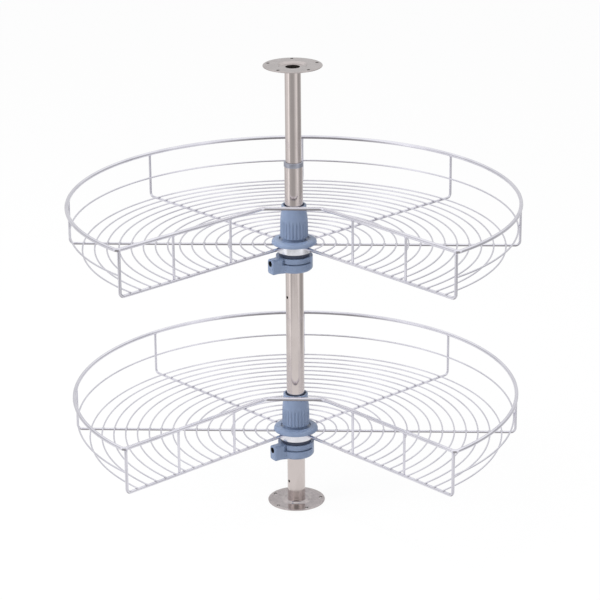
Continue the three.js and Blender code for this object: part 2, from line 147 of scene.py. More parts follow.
def softened(corners: Pairs, cut: float | Sequence[float], steps: int = 4) -> np.ndarray:
    """A closed outline with each corner rounded.

    A corner c between unit vectors u and v towards its neighbours becomes the parabola
    (1 - t)^2 (c + k u) + 2 t (1 - t) c + t^2 (c + k v), where k is how far the rounding reaches,
    never past 49% of either side.

    Args:
        corners: The outline's sharp corners in order.
        cut: The reach k, for all corners or one each.
        steps: Number of gaps that a rounding has.

    Returns:
        The points of the rounded outline, one a row.
    """
    sharp = np.asarray(corners, float)
    before, after = np.roll(sharp, 1, axis=0) - sharp, np.roll(sharp, -1, axis=0) - sharp
    back, ahead = np.linalg.norm(before, axis=1), np.linalg.norm(after, axis=1)
    reach = np.minimum(np.broadcast_to(cut, back.shape), 0.49 * np.minimum(back, ahead))[:, None]
    start, end = sharp + before / back[:, None] * reach, sharp + after / ahead[:, None] * reach
    t = np.linspace(0.0, 1.0, steps + 1)[None, :, None]
    curve = (1 - t) ** 2 * start[:, None] + 2 * t * (1 - t) * sharp[:, None] + t**2 * end[:, None]
    return curve.reshape(-1, 2)


def unit(vectors: np.ndarray) -> np.ndarray:
    """The vectors, one a row, each scaled to a length of 1."""
    return vectors / np.linalg.norm(vectors, axis=1, keepdims=True)


def smooth_step(low: float, high: float, value: np.ndarray) -> np.ndarray:
    """0 below low, 1 above high, and 3 s^2 - 2 s^3 of the share s of the way between."""
    share = np.clip((value - low) / (high - low), 0.0, 1.0)
    return share * share * (3.0 - 2.0 * share)


# ---- closed shells


class Shell:
    """Closed surfaces that are gathered into one mesh."""

    def __init__(self) -> None:
        """Starts with nothing."""
        self.points: list[np.ndarray] = []
        self.quads: list[np.ndarray] = []
        self.fans: list[np.ndarray] = []
        self.count = 0

    def add(self, grid: np.ndarray, ring: bool = False) -> "Shell":
        """Adds one closed surface from a grid of points whose columns run round it.

        The last column meets the first. The last row meets the first too if ring is true, and
        otherwise both end rows are closed by a fan to their middle. The surface is turned
        outwards by the sign of the volume it encloses, the sum of p . (q x r) over its triangles.

        Args:
            grid: Points in rows and columns.
            ring: Whether the rows close on themselves.

        Returns:
            This shell.
        """
        rows, columns = grid.shape[:2]
        points = grid.reshape(-1, 3)
        index = np.arange(rows * columns).reshape(rows, columns)
        index = np.vstack([index, index[:1]]) if ring else index
        index = np.hstack([index, index[:, :1]])
        quads = np.stack([index[:-1, :-1], index[:-1, 1:], index[1:, 1:], index[1:, :-1]], axis=-1)
        quads = quads.reshape(-1, 4)
        fans = np.empty((0, 3), int)
        if not ring:
            middle = np.full(columns, len(points))
            points = np.vstack([points, grid[0].mean(axis=0), grid[-1].mean(axis=0)])
            first = np.stack([middle, index[0, 1:], index[0, :-1]], axis=-1)
            last = np.stack([middle + 1, index[-1, :-1], index[-1, 1:]], axis=-1)
            fans = np.vstack([first, last])
        triangles = np.vstack([quads[:, :3], quads[:, [0, 2, 3]], fans])
        p, q, r = (points[triangles[:, n]] for n in range(3))
        if np.einsum("ij,ij->", p, np.cross(q, r)) < 0.0:
            quads, fans = quads[:, ::-1], fans[:, ::-1]
        self.points.append(points)
        self.quads.append(quads + self.count)
        self.fans.append(fans + self.count)
        self.count += len(points)
        return self

    def mesh(self) -> Mesh:
        """Puts the gathered surfaces into one mesh.

        Returns:
            The mesh, in metres.
        """
        mesh = bpy.data.meshes.new("shell")
        faces = np.vstack(self.quads).tolist() + np.vstack(self.fans).tolist()
        mesh.from_pydata(np.vstack(self.points) * MM, [], faces)
        return mesh


def turned(profile: np.ndarray, sides: int) -> np.ndarray:
    """A closed profile (r, z) carried round the axis: row i, column j is (r_i, z_i) at azimuth a_j."""
    azimuths = np.arange(sides) * 360.0 / sides
    return polar(azimuths[None, :], profile[:, :1], profile[:, 1:])


def wire(path: np.ndarray, plane: np.ndarray, radius: float, sides: int,
         endless: bool = False) -> np.ndarray:
    """A round wire along a path that lies in one plane.

    At a point p with unit tangent t, the section is p + r (cos a (b x t) + sin a b) for a full
    turn of a, where b is the plane's normal. The tangent is the mean of the unit steps before and
    after the point. An open end is rounded over by rings that shrink as a quarter circle does.

    Args:
        path: The centre line's points.
        plane: The unit normal of the plane that the path lies in.
        radius: The wire's radius.
        sides: Number of points round the wire.
        endless: Whether the path closes on itself; its last point then isn't its first.

    Returns:
        The grid of points.
    """
    radii = np.full(len(path), radius)
    if endless:
        steps = unit(np.roll(path, -1, axis=0) - path)
        tangent = unit(steps + np.roll(steps, 1, axis=0))
    else:
        steps = unit(np.diff(path, axis=0))
        tangent = unit(np.vstack([steps[:1], steps]) + np.vstack([steps, steps[-1:]]))
        rounding, turn = 0.35 * radius, np.radians([90.0, 60.0, 30.0])
        ring_radii, back = radius - rounding * (1 - np.cos(turn)), rounding * (1 - np.sin(turn))
        start = path[0] + tangent[0] * back[:, None]
        end = path[-1] - tangent[-1] * back[::-1, None]
        first, last = path[0] + tangent[0] * rounding, path[-1] - tangent[-1] * rounding
        path = np.vstack([start, first, path[1:-1], last, end])
        tangent = np.vstack([np.repeat(tangent[:1], 4, 0), tangent[1:-1], np.repeat(tangent[-1:], 4, 0)])
        radii = np.concatenate([ring_radii, radii, ring_radii[::-1]])
    normal = np.cross(plane, tangent)
    turn = (np.arange(sides) + 0.5) * 2.0 * np.pi / sides
    around = np.cos(turn)[None, :, None] * normal[:, None] + np.sin(turn)[None, :, None] * plane
    return path[:, None] + radii[:, None, None] * around


def bar(outline: np.ndarray, azimuth: float, stations: Pairs, height: float) -> np.ndarray:
    """A rounded bar along a ray from the post's axis.

    The outline (lateral, upward) about the ray is drawn at each station's distance, shrunk by the
    station's inset: the point is distance * e + (height + v s_v) * z + (u s_u) * f, where s is
    one less the inset over the outline's half width or half height.

    Args:
        outline: The bar's section, centred on the ray.
        azimuth: The ray's azimuth.
        stations: Pairs of distance from the axis and inset of the outline there.
        height: The ray's height.

    Returns:
        The grid of points.
    """
    distance, inset = np.asarray(stations, float).T
    half = np.abs(outline).max(axis=0)
    scale = 1.0 - inset[:, None] / half[None, :]
    lateral = outline[None, :, 0] * scale[:, :1]
    upward = outline[None, :, 1] * scale[:, 1:]
    return polar(azimuth, distance[:, None], height + upward, lateral)


def circle(radius: float, sides: int) -> np.ndarray:
    """The points of a circle about the origin of its plane."""
    turn = np.arange(sides) * 2.0 * np.pi / sides
    return radius * np.stack([np.cos(turn), np.sin(turn)], axis=-1)


def beads(places: np.ndarray, radii: Axes) -> list[np.ndarray]:
    """Small ellipsoids where wires are welded.

    A bead's point is its place + (a sin p cos t, b sin p sin t, c cos p), p from 0 to 180 degrees.

    Args:
        places: The beads' centres, one a row.
        radii: The half axes a, b and c.

    Returns:
        One grid for each bead.
    """
    p = np.radians([12.0, 40.0, 68.0, 96.0, 124.0, 152.0, 170.0])[:, None]
    t = np.arange(8) * np.pi / 4
    parts = np.broadcast_arrays(np.sin(p) * np.cos(t), np.sin(p) * np.sin(t), np.cos(p))
    ball = np.stack(parts, axis=-1)
    return list(places[:, None, None, :] + ball * np.array(radii))


def placed(name: str, data: Mesh | bpy.types.Camera | bpy.types.Light) -> bpy.types.Object:
    """Puts a new object into the scene.

    Args:
        name: The object's name.
        data: The mesh, camera or light that it holds.

    Returns:
        The object.
    """
    holder = bpy.data.objects.new(name, data)
    bpy.context.scene.collection.objects.link(holder)
    return holder


def combined(base: Shell, changes: Changes) -> Mesh:
    """The mesh of a shell after others are joined to it or cut from it.

    Args:
        base: The shell to start from.
        changes: What is done to it, in order.

    Returns:
        The resulting mesh, in metres.
    """
    body = placed("body", base.mesh())
    tools = [placed("tool", shell.mesh()) for _, shell in changes]
    for (how, _), tool in zip(changes, tools):
        step = body.modifiers.new(how.name.lower(), "BOOLEAN")
        step.operation, step.solver, step.object = how.value, "EXACT", tool
    depsgraph = bpy.context.evaluated_depsgraph_get()
    result = bpy.data.meshes.new_from_object(body.evaluated_get(depsgraph))
    for holder in [body, *tools]:
        data = holder.data
        bpy.data.objects.remove(holder)
        bpy.data.meshes.remove(data)
    return result


# ---- finishes


class Value:
    """A number on a node's socket, with Python's operators as Math nodes."""

    def __init__(self, graph: "Graph", socket: Socket) -> None:
        """Wraps a socket of a graph."""
        self.graph, self.socket = graph, socket

    def maths(self, operation: str, *numbers: "float | Value", clamp: bool = False) -> "Value":
        """A Math node's result.

        Args:
            operation: The node's operation.
            *numbers: Its inputs in order.
            clamp: Whether the result is held between 0 and 1.

        Returns:
            The result as a value.
        """
        settings: Settings = {"operation": operation, "use_clamp": clamp}
        node = self.graph.node("ShaderNodeMath", settings, dict(enumerate(numbers)))
        return Value(self.graph, node.outputs[0])

    def __add__(self, other: "float | Value") -> "Value":
        """This plus other."""
        return self.maths("ADD", self, other)

    def __sub__(self, other: "float | Value") -> "Value":
        """This less other."""
        return self.maths("SUBTRACT", self, other)

    def __rsub__(self, other: "float | Value") -> "Value":
        """Other less this."""
        return self.maths("SUBTRACT", other, self)

    def __mul__(self, other: "float | Value") -> "Value":
        """This times other."""
        return self.maths("MULTIPLY", self, other)

    def __pow__(self, other: "float | Value") -> "Value":
        """This to the power of other."""
        return self.maths("POWER", self, other)

    def between(self, low: float, high: float) -> "Value":
        """How far this is from low to high, held between 0 and 1."""
        return self.maths("MULTIPLY", self - low, 1.0 / (high - low), clamp=True)

    __radd__ = __add__
    __rmul__ = __mul__


class Graph:
    """The nodes of one material or world, and the output at their end."""

    def __init__(self, holder: bpy.types.Material | bpy.types.World) -> None:
        """Empties the holder's nodes and makes its output.

        Args:
            holder: The material or world.
        """
        holder.use_nodes = True
        self.holder = holder
        self.tree = holder.node_tree
        self.tree.nodes.clear()
        end = "World" if isinstance(holder, bpy.types.World) else "Material"
        self.output = self.node(f"ShaderNodeOutput{end}")

    def node(self, kind: str, settings: Settings | None = None,
             inputs: dict[str | int, object] | None = None) -> bpy.types.Node:
        """Makes a node, sets its properties, then fills its sockets.

        Args:
            kind: The node's type.
            settings: Properties by name; "stops" are a ramp's (position, level) pairs.
            inputs: Numbers, colours, values or sockets by the input's name or number.

        Returns:
            The node.
        """
        node = self.tree.nodes.new(kind)
        for key, setting in (settings or {}).items():
            if key == "stops":
                self.set_stops(node.color_ramp.elements, setting)
            else:
                setattr(node, key, setting)
        for key, given in (inputs or {}).items():
            source = given.socket if isinstance(given, Value) else given
            if isinstance(source, Socket):
                self.tree.links.new(source, node.inputs[key])
            else:
                node.inputs[key].default_value = source
        return node

    @staticmethod
    def set_stops(elements: bpy.types.ColorRampElements, stops: Pairs) -> None:
        """Gives a ramp new stops in place of its own two.

        Args:
            elements: The ramp's stops.
            stops: Pairs of position and grey level.
        """
        elements.remove(elements[-1])
        for number, (position, level) in enumerate(stops):
            stop = elements.new(position) if number else elements[0]
            stop.position, stop.color = position, (level, level, level, 1.0)

    def place(self, scale: Axes = (1.0, 1.0, 1.0)) -> Socket:
        """Object coordinates in metres, stretched along each axis."""
        given = self.node("ShaderNodeTexCoord").outputs["Object"]
        return self.node("ShaderNodeMapping", None, {"Vector": given, "Scale": scale}).outputs[0]

    def along_axes(self, vector: Socket) -> tuple[Value, Value, Value]:
        """A vector's x, y and z as three values."""
        parts = self.node("ShaderNodeSeparateXYZ", None, {0: vector})
        return tuple(Value(self, part) for part in parts.outputs)

    def noise(self, place: Socket, scale: float, detail: float = 2.0, roughness: float = 0.5) -> Value:
        """Cloudy noise from 0 to 1 with this many cycles a metre, finer layers and their strength."""
        inputs = {"Vector": place, "Scale": scale, "Detail": detail, "Roughness": roughness}
        return Value(self, self.node("ShaderNodeTexNoise", None, inputs).outputs[0])

    def tone(self, colour: Colour | Socket, other: Colour, share: Value) -> Socket:
        """A colour that goes over to another by a share.

        Args:
            colour: The colour where the share is 0.
            other: The colour where it is 1.
            share: How far it has gone over.

        Returns:
            The colour's socket.
        """
        start = colour if isinstance(colour, Socket) else (*colour, 1.0)
        inputs = {0: share, 6: start, 7: (*other, 1.0)}
        return self.node("ShaderNodeMix", {"data_type": "RGBA"}, inputs).outputs[2]

    def attribute(self, name: str) -> Value:
        """A mesh attribute's number, or 0 on a mesh without it."""
        return Value(self, self.node("ShaderNodeAttribute", {"attribute_name": name}).outputs["Fac"])

    def relief(self, height: Value, distance: float, strength: float) -> Socket:
        """A Bump node's normal for a height pattern that is distance metres deep."""
        inputs = {"Strength": strength, "Distance": distance, "Height": height}
        return self.node("ShaderNodeBump", None, inputs).outputs[0]

    def light(self, strength: float | Value) -> Socket:
        """Plain white light: a Background in a world and an Emission in a material.

        Args:
            strength: How strong it is.

        Returns:
            The shader's socket.
        """
        kind = "Background" if isinstance(self.holder, bpy.types.World) else "Emission"
        inputs = {"Color": (1.0, 1.0, 1.0, 1.0), "Strength": strength}
        return self.node(f"ShaderNode{kind}", None, inputs).outputs[0]

    def mixed(self, share: Value, one: Socket, other: Socket) -> Socket:
        """A shader that goes over to another by a share."""
        return self.node("ShaderNodeMixShader", None, {0: share, 1: one, 2: other}).outputs[0]

    def ray(self, kind: str) -> Value:
        """1 for rays of a kind that the Light Path node names, and 0 for others."""
        return Value(self, self.node("ShaderNodeLightPath").outputs[f"Is {kind} Ray"])

    def seen(self) -> Value:
        """1 for rays from the camera, straight or through something clear, and 0 for others."""
        camera = self.ray("Camera")
        return camera.maths("MAXIMUM", camera, self.ray("Transmission"))

    def end_in(self, shader: Socket) -> None:
        """Leads a shader into the output."""
        self.tree.links.new(shader, self.output.inputs["Surface"])

    def surface(self, **inputs: object) -> bpy.types.Material:
        """Ends the graph in a Principled shader.

        Args:
            **inputs: The shader's inputs, with underscores in place of spaces.

        Returns:
            The material.
        """
        named = {key.replace("_", " "): given for key, given in inputs.items()}
        self.end_in(self.node("ShaderNodeBsdfPrincipled", None, named).outputs[0])
        return self.holder


@dataclass(frozen=True)
class ChromedWire:
    """Bright chrome on drawn wire: cool mirror metal with a faint haze and plating ripple.

    Where a mesh's "underside" attribute nears 1, a dark painted shade stands in for the dark reflection
    that wires' undersides show.
    """

    name: str = "chromed_wire"
    colour: Colour = (0.84, 0.83, 0.90)
    haze: Colour = (0.72, 0.71, 0.78)
    # painted shade: the dark colour given to the wires' undersides
    film: Colour = (0.19, 0.17, 0.17)
    film_share: float = 0.8
    roughness: float = 0.15

    def material(self) -> bpy.types.Material:
        """The finish as a material.

        Returns:
            The material.
        """
        graph = Graph(bpy.data.materials.new(self.name))
        place = graph.place()
        cloud = graph.noise(place, scale=22.0, detail=3.0)
        ripple = graph.noise(place, scale=700.0)
        plated = graph.tone(self.colour, self.haze, cloud.between(0.4, 0.75))
        return graph.surface(
            Base_Color=graph.tone(plated, self.film, self.film_share * graph.attribute("underside")),
            Metallic=1.0,
            Roughness=self.roughness + 0.12 * cloud.between(0.35, 0.8),
            Normal=graph.relief(ripple, distance=0.00004, strength=0.5),
        )


@dataclass(frozen=True)
class PolishedTube:
    """Polished steel tube: warm metal with fine lines drawn down its length and handling marks.

    Where a mesh's "raw" attribute is 1, as in the bore, shade is painted: the steel is dark, and rougher.
    """

    name: str = "polished_tube"
    colour: Colour = (0.705, 0.635, 0.615)
    smudge: Colour = (0.61, 0.545, 0.525)
    # painted shade for the bore and holes
    bore: Colour = (0.10, 0.085, 0.08)
    roughness: float = 0.09

    def material(self) -> bpy.types.Material:
        """The finish as a material.

        Returns:
            The material.
        """
        graph = Graph(bpy.data.materials.new(self.name))
        lines = graph.noise(graph.place((1.0, 1.0, 0.012)), scale=1500.0, detail=3.0)
        marks = graph.noise(graph.place((1.0, 1.0, 0.35)), scale=40.0, detail=4.0, roughness=0.6)
        smudged, raw = marks.between(0.45, 0.8), graph.attribute("raw")
        polish = graph.tone(self.colour, self.smudge, smudged)
        return graph.surface(
            Base_Color=graph.tone(polish, self.bore, raw),
            Metallic=1.0,
            Roughness=self.roughness + 0.06 * lines + 0.08 * smudged + 0.4 * raw,
            Normal=graph.relief(lines, distance=0.00003, strength=0.5),
        )


@dataclass(frozen=True)
class PressedSheet:
    """Pressed and polished sheet: faint turning rings about the post, and cloudy wear.

    Where a mesh's "raw" attribute is 1, as in a screw hole, shade is painted: the steel is dark, and
    rougher.
    """

    name: str = "pressed_sheet"
    colour: Colour = (0.595, 0.545, 0.535)
    worn: Colour = (0.49, 0.45, 0.445)
    # painted shade for the walls of the bore and screw holes
    cut: Colour = (0.12, 0.105, 0.10)
    roughness: float = 0.09

    def material(self) -> bpy.types.Material:
        """The finish as a material, its rings following the distance from the axis.

        Returns:
            The material.
        """
        graph = Graph(bpy.data.materials.new(self.name))
        place = graph.place()
        x, y, _ = graph.along_axes(place)
        radius = (x * x + y * y) ** 0.5
        along = graph.node("ShaderNodeCombineXYZ", None, {"X": radius}).outputs[0]
        rings = graph.noise(along, scale=1800.0)
        cloud = graph.noise(place, scale=60.0, detail=4.0, roughness=0.6)
        raw = graph.attribute("raw")
        polish = graph.tone(self.colour, self.worn, cloud.between(0.4, 0.75))
        return graph.surface(
            Base_Color=graph.tone(polish, self.cut, raw),
            Metallic=1.0,
            Roughness=self.roughness + 0.08 * rings + 0.12 * cloud.between(0.4, 0.8) + 0.4 * raw,
            Normal=graph.relief(rings, distance=0.00003, strength=0.5),
        )


@dataclass(frozen=True)
class MouldedPlastic:
    """Half-glossy moulded plastic: a fine spark-eroded grain with slow flow marks in its colour.

    Where a mesh's "raw" attribute is 1, in the screw's hole, shade is painted: the plastic is nearly
    black.
    """

    name: str = "moulded_plastic"
    colour: Colour = (0.205, 0.265, 0.395)
    flow: Colour = (0.175, 0.23, 0.35)
    roughness: float = 0.20
    grain: float = 0.00003
    # painted shade inside the screw's hole
    blackened: Colour = (0.016, 0.018, 0.022)

    def material(self) -> bpy.types.Material:
        """The finish as a material.

        Returns:
            The material.
        """
        graph = Graph(bpy.data.materials.new(self.name))
        flow = graph.noise(graph.place((1.0, 1.0, 0.4)), scale=70.0, detail=3.0)
        grain = graph.noise(graph.place(), scale=2600.0, roughness=0.6)
        clean = graph.tone(self.colour, self.flow, flow.between(0.35, 0.75))
        return graph.surface(
            Base_Color=graph.tone(clean, self.blackened, graph.attribute("raw")),
            Roughness=self.roughness + 0.08 * grain,
            Normal=graph.relief(grain, self.grain, strength=0.6),
        )


@dataclass(frozen=True)
class BlackedSteel:
    """Blackened screw steel: dark oxide that is rubbed to bare metal here and there."""

    name: str = "blacked_steel"
    colour: Colour = (0.022, 0.022, 0.025)
    rubbed: Colour = (0.12, 0.12, 0.125)
    roughness: float = 0.35

    def material(self) -> bpy.types.Material:
        """The finish as a material.

        Returns:
            The material.
        """
        graph = Graph(bpy.data.materials.new(self.name))
        wear = graph.noise(graph.place(), scale=900.0, detail=3.0, roughness=0.6).between(0.55, 0.8)
        return graph.surface(
            Base_Color=graph.tone(self.colour, self.rubbed, wear),
            Metallic=1.0,
            Roughness=self.roughness + 0.15 * wear,
        )


class Finish(Enum):
    """The finishes on the carousel, each with the record's slot that it stands for."""

    WIRE = (ChromedWire(), "chrome_wire")
    TUBE = (PolishedTube(), "stainless_steel")
    SHEET = (PressedSheet(), "stainless_steel")
    SLEEVE = (
        PressedSheet("sleeve_nickel", (0.92, 0.92, 0.97), (0.82, 0.82, 0.88), roughness=0.2),
        "stainless_steel",
    )
    BUSH = (
        PressedSheet("bush_nickel", (0.46, 0.475, 0.55), (0.40, 0.415, 0.48), roughness=0.3),
        "stainless_steel",
    )
    PLASTIC = (MouldedPlastic(), "grey_blue_plastic")
    BEARING = (
        MouldedPlastic("bearing_plastic", (0.034, 0.043, 0.08), (0.025, 0.032, 0.062), roughness=0.38),
        "dark_bearing_plastic",
    )
    SCREW = (BlackedSteel(), "black_screw_steel")

    def material(self) -> bpy.types.Material:
        """The finish's material, made once."""
        return bpy.data.materials.get(self.value[0].name) or self.value[0].material()


def held(items: bpy.types.bpy_prop_collection, name: str) -> np.ndarray:
    """Reads a vector from each of a mesh's faces or points.

    Args:
        items: The mesh's faces or points.
        name: The vector's name.

    Returns:
        The vectors, one a row.
    """
    flat = np.empty(3 * len(items), np.float32)
    items.foreach_get(name, flat)
    return flat.reshape(-1, 3)


def face_facts(mesh: Mesh) -> tuple[np.ndarray, np.ndarray, np.ndarray]:
    """How each face of a mesh stands to the post's axis.

    Args:
        mesh: The mesh, in metres.

    Returns:
        The faces' middles in millimetres, and from -1 to 1 how far each face looks away from the
        axis and how far it looks up.
    """
    middles, normals = held(mesh.polygons, "center"), held(mesh.polygons, "normal")
    distance = np.hypot(middles[:, 0], middles[:, 1])
    outward = (middles[:, :2] * normals[:, :2]).sum(axis=1) / np.maximum(distance, 1e-6)
    return middles / MM, outward, normals[:, 2]


def mark_hollow_shade(mesh: Mesh, raw: np.ndarray) -> None:
    """Writes which faces of a bore or hole get painted shade as the attribute "raw"."""
    mesh.attributes.new("raw", "FLOAT", "FACE").data.foreach_set("value", raw.astype(np.float32))


def mark_undersides(mesh: Mesh, top: float = math.inf, above: float = 0.0,
                    weld_points: int = 0, weld_share: float = 0.65) -> None:
    """Writes where level wires that run along X face down as a mesh's attribute "underside", the share of
    painted shade there.

    With n the normal, it is the smooth step down from n_z = 0.4 to -0.15, times the smooth step
    down of |n_x| over the length of (n_x, n_y) from 0.2 to 0.55.

    Args:
        mesh: The mesh, in metres.
        top: A height in millimetres.
        above: The share of it that is kept above the top.
        weld_points: How many of the mesh's last points belong to weld beads.
        weld_share: What it is on the beads, which get painted shade all over.
    """
    x, y, z = held(mesh.vertices, "normal").T
    heights = held(mesh.vertices, "co")[:, 2]
    down = 1.0 - smooth_step(-0.15, 0.4, z)
    across = 1.0 - smooth_step(0.2, 0.55, np.abs(x) / np.maximum(np.hypot(x, y), 1e-6))
    share = down * across * np.where(heights < top * MM, 1.0, above)
    share[len(share) - weld_points:] = weld_share
    mesh.attributes.new("underside", "FLOAT", "POINT").data.foreach_set("value", share.astype(np.float32))


def piece(name: str, mesh: Mesh, finish: Finish, body: str, *nodes: str, crease: float = 32.0) -> None:
    """Makes a mesh a piece of the object, riding on a body in place of its nodes.

    Args:
        name: The piece's name.
        mesh: Its mesh, in metres.
        finish: What it is finished in.
        body: The body that it rides on.
        *nodes: The nodes that it stands for.
        crease: Edges sharper than this many degrees stay sharp.
    """
    mesh.name = name
    mesh.shade_smooth()
    mesh.set_sharp_from_angle(angle=math.radians(crease))
    mesh.materials.clear()
    mesh.materials.append(finish.material())
    made = placed(name, mesh)
    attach(made, body)
    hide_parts(*nodes)
    log.info("%s: %d faces on %s", name, len(mesh.polygons), body)


# ---- post


@dataclass
class Flange:
    """The round pressed flange at either end of the post."""

    radius: float = 46.0
    sheet: float = 2.0
    rise: float = 3.0
    dish_outer: float = 24.0
    dish_inner: float = 19.0
    bore: float = 11.3
    screw_circle: float = 39.5
    screw_holes: int = 5
    screw_hole: float = 2.6
    countersink: float = 0.2
    unshaded_edge: float = 2.5
    sides: int = 144

    def profile(self) -> np.ndarray:
        """The sheet's section, whose centre rises on an S-curve from the dish's outer radius in.

        The top is z = sheet + rise * s(r), where s is the smooth step from the outer to the inner
        radius, and the underside is one sheet lower; the outer edge is a half round.

        Returns:
            The section's points, one a row.
        """
        inner = np.linspace(self.bore, self.dish_inner, 4)
        slope = np.linspace(self.dish_inner, self.dish_outer, 11)[1:]
        outer = np.linspace(self.dish_outer, self.radius - 1.0, 6)[1:]
        radii = np.concatenate([inner, slope, outer])
        lift = self.rise * (1.0 - smooth_step(self.dish_inner, self.dish_outer, radii))
        turn = np.radians(np.linspace(-90.0, 90.0, 9))
        half = self.sheet / 2.0
        edge = np.stack([self.radius - half + half * np.cos(turn), half + half * np.sin(turn)], axis=-1)
        under = np.stack([radii, lift], axis=-1)
        top = np.stack([radii, lift + self.sheet], axis=-1)[::-1]
        return np.vstack([under[:-1], edge, top[1:]])

    def hole_tools(self, first_hole: float) -> list[tuple[Carving, Shell]]:
        """The countersunk screw holes' tools: a cylinder that opens into a cone at the top.

        Args:
            first_hole: Azimuth of one of the holes.

        Returns:
            One cut for each hole.
        """
        below, above = -1.0, 0.4
        profile = [
            (below, self.screw_hole),
            (self.sheet - self.countersink, self.screw_hole),
            (self.sheet + above, self.screw_hole + self.countersink + above),
        ]
        tools = []
        for azimuth in first_hole + np.arange(self.screw_holes) * 360.0 / self.screw_holes:
            centre = polar(azimuth, self.screw_circle)
            rings = [np.column_stack([circle(r, 32), np.full(32, z)]) + centre for z, r in profile]
            tools.append((Carving.CUT, Shell().add(np.stack(rings))))
        return tools

    def build(self, name: str, body: str, first_hole: float, turned_over_at: float | None = None) -> None:
        """Makes one flange.

        Args:
            name: The node that it stands for.
            body: The body that it rides on.
            first_hole: Azimuth of one screw hole as the flange lies on the floor.
            turned_over_at: Height of its rim's face if it is turned over, or None on the floor.
        """
        disc = Shell().add(turned(self.profile(), self.sides), ring=True)
        mesh = combined(disc, self.hole_tools(first_hole))
        middles, _, up = face_facts(mesh)
        distance = np.hypot(middles[:, 0], middles[:, 1])
        # painted shade on the steep walls of the bore and screw holes; the outer edge is left out
        mark_hollow_shade(mesh, (np.abs(up) < STEEP) & (distance < self.radius - self.unshaded_edge))
        if turned_over_at is not None:
            lift = Matrix.Translation((0, 0, turned_over_at * MM))
            mesh.transform(lift @ Matrix.Rotation(math.pi, 4, "X"))
        piece(f"{name}_sheet", mesh, Finish.SHEET, body, name)


@dataclass
class Post:
    """The telescopic post: two tubes, the bush between them and a flange at each end."""

    height: float = 726.0
    lower_radius: float = 14.25
    lower_bore: float = 13.35
    lower_top: float = 565.0
    upper_radius: float = 12.5
    upper_bore: float = 11.3
    upper_bottom: float = 420.0
    flange_seat: float = 5.0
    bush_radius: float = 15.2
    bush_height: float = 7.5
    bush_skirt: float = 34.0
    gap: float = 0.1
    screw_hole: float = 2.4
    screw_hole_pitch: float = 62.0
    tube_edge: float = 0.25
    past_wall: float = 1.5
    floor_first_hole: float = 8.5
    ceiling_first_hole: float = -22.0
    sides: int = 128
    flange: Flange = field(default_factory=Flange)

    def drill(self, height: float) -> tuple[Carving, Shell]:
        """A round set screw hole through one wall of the lower tube."""
        stations = [(self.lower_bore - self.past_wall, 0.0), (self.lower_radius + self.past_wall, 0.0)]
        return Carving.CUT, Shell().add(bar(circle(self.screw_hole, 48), SCREW_AZIMUTH, stations, height))

    def tube(self, name: str, body: str, wall: Pairs, cuts: Changes = ()) -> None:
        """Makes a tube whose edges are broken, with painted shade on the faces that don't look outwards,
        as in its bore and holes.

        Args:
            name: The node that it stands for.
            body: The body that it rides on.
            wall: The corners of its wall's section.
            cuts: What is cut from it.
        """
        shell = Shell().add(turned(softened(wall, self.tube_edge), self.sides), ring=True)
        mesh = combined(shell, cuts) if cuts else shell.mesh()
        # painted shade on faces that don't look outwards
        mark_hollow_shade(mesh, face_facts(mesh)[1] < STEEP)
        piece(f"{name}_wall", mesh, Finish.TUBE, body, name)

    def bush(self) -> None:
        """The bush on the lower tube's mouth, its collar rounded and its skirt inside the tube."""
        inner, skirt = self.upper_radius + self.gap, self.lower_bore - self.gap
        seat, foot = self.lower_top + self.gap, self.lower_top - self.bush_skirt
        outer, top = self.bush_radius, seat + self.bush_height
        corners = [(inner, foot), (skirt, foot), (skirt, seat), (outer, seat), (outer, top), (inner, top)]
        outline = softened(corners, cut=[0.1, 0.1, 0.05, 0.5, 1.2, 0.3], steps=5)
        ring = Shell().add(turned(outline, self.sides), ring=True)
        piece("telescope_bush_ring", ring.mesh(), Finish.BUSH, "post", "telescope_bush")

    def build(self) -> None:
        """Makes the post's five pieces, the lower tube with two set screw holes for each tier."""
        self.flange.build("floor_flange", "post", self.floor_first_hole)
        self.flange.build("ceiling_flange", "upper_post", self.ceiling_first_hole, self.height)
        screws = [tier.value + SCREW_HEIGHT for tier in Tier]
        holes = [self.drill(screw - drop) for screw in screws for drop in (0.0, self.screw_hole_pitch)]
        lower = rectangle(self.lower_bore, self.lower_radius, self.flange_seat, self.lower_top)
        self.tube("lower_tube", "post", lower, holes)
        top = self.height - self.flange_seat
        upper = rectangle(self.upper_bore, self.upper_radius, self.upper_bottom, top)
        self.tube("upper_tube", "upper_post", upper)
        self.bush()


# ---- tiers


@dataclass
class OnTier:
    """What the parts of one tier share: their height on the post and the start of their names."""

    tier: Tier

    def raised(self, points: np.ndarray) -> np.ndarray:
        """The points at the tier's height on the post."""
        return points + UP * self.tier.value

    def shell(self, grid: np.ndarray, ring: bool = False) -> Shell:
        """A closed surface at the tier's height on the post."""
        return Shell().add(self.raised(grid), ring)

    def piece(self, node: str, form: str, mesh: Mesh, finish: Finish, body: str,
              crease: float = 32.0) -> None:
        """Makes a mesh this tier's piece; the tier's word is put before its node's and its body's."""
        whole = f"{self.tier.label}_{node}"
        piece(f"{whole}_{form}", mesh, finish, f"{self.tier.label}_{body}", whole, crease=crease)


# ---- basket


